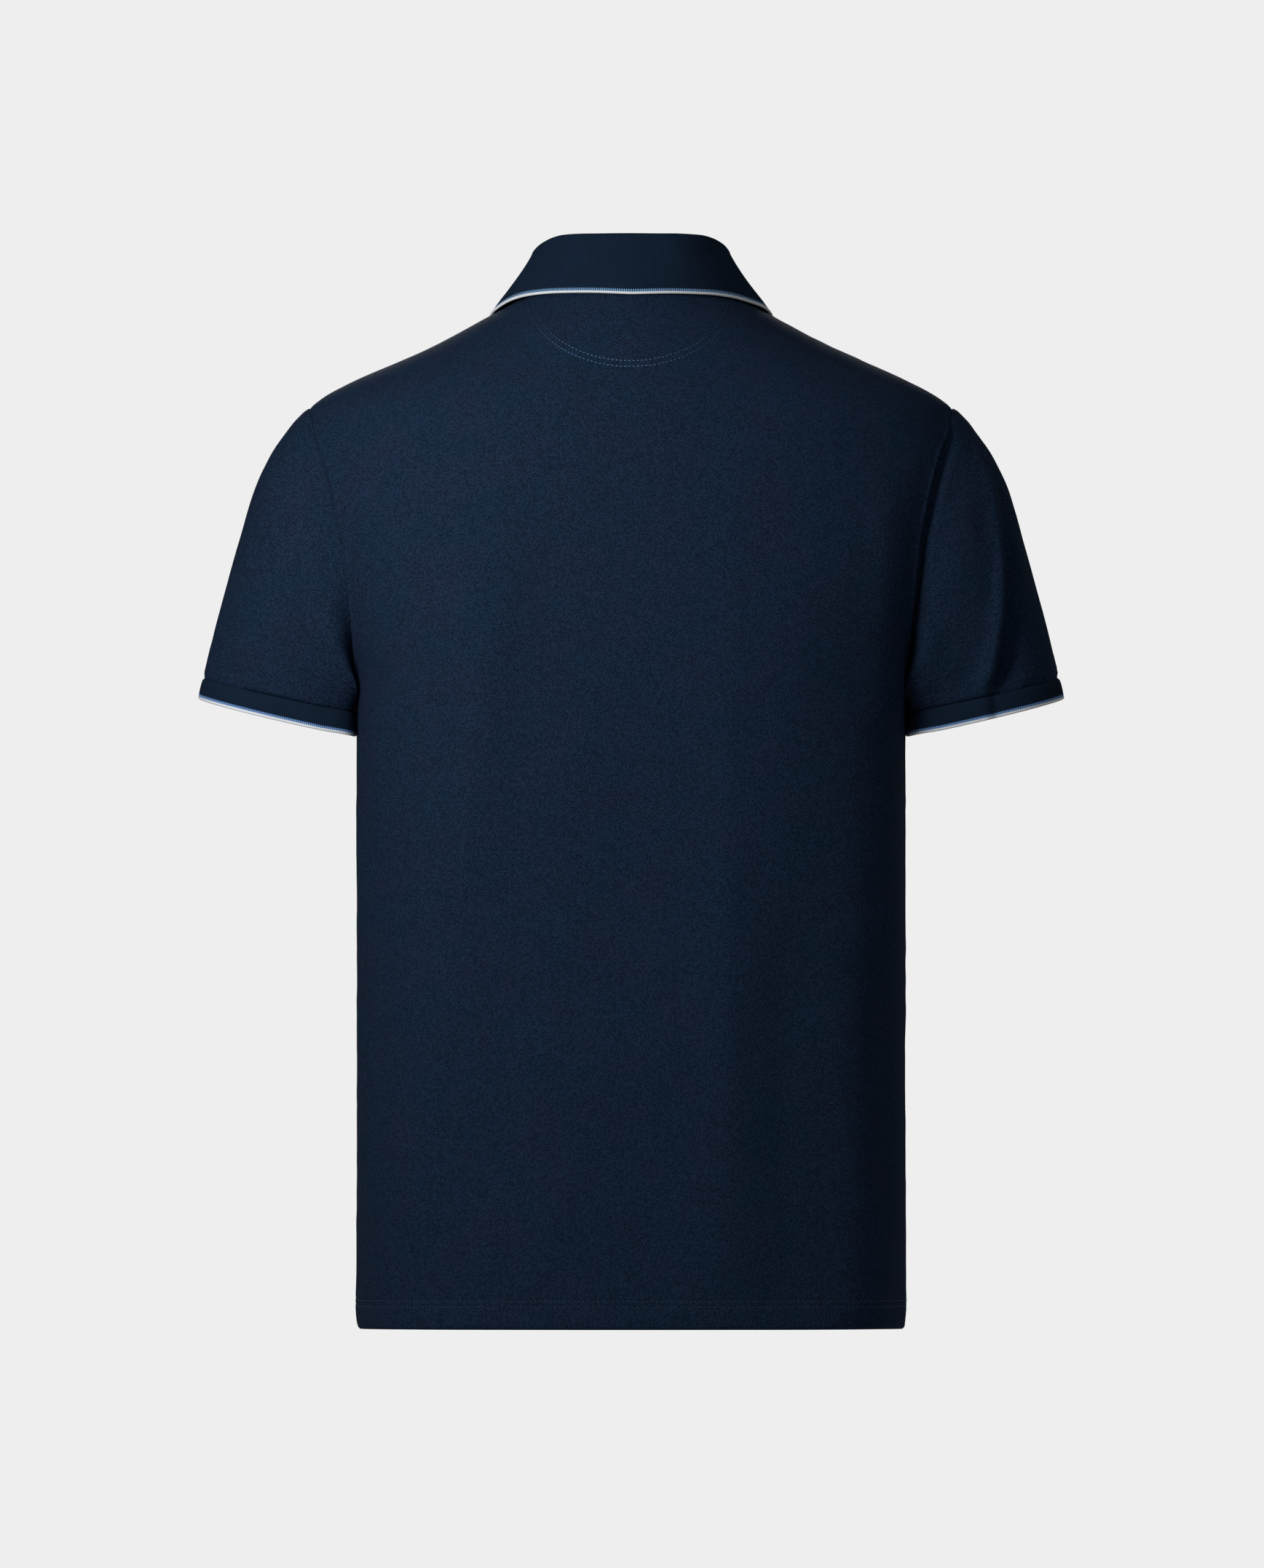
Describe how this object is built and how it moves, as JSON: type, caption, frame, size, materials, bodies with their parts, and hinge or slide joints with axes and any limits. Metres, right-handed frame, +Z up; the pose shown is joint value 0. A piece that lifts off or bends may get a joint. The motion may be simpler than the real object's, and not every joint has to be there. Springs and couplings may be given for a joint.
{
  "type": "polo shirt",
  "caption": "Short-sleeved polo shirt, filled out and hollow, with a folded rib-knit collar, rib-knit cuffs, pale knitted tipping and a buttoned front placket.",
  "frame": {"origin": "base of the neck, midway between the shoulder seams, where the wearer's shoulders carry the shirt", "axes": "+Z up, from the hem to the collar; the chest faces -Y and the back faces +Y; +X is the wearer's left"},
  "size_m": [0.5944, 0.2443, 0.7496],
  "materials": {
    "pique": "deep navy cotton pique knit, matt, with a fine diamond texture",
    "rib_knit": "deep navy fine rib knit, matt, with a light-blue line and a white edge knitted in",
    "button": "dark navy moulded shirt button, softly glossy"
  },
  "bodies": {
    "root": {"back": "pique", "front": "pique", "placket_top": "pique", "placket_under": "pique", "half_moon": "pique", "sleeve_left": "pique", "sleeve_right": "pique", "cuff_left": "rib_knit", "cuff_right": "rib_knit", "collar": "rib_knit", "button_1": "button", "button_2": "button", "button_3": "button"}
  },
  "joints": []
}
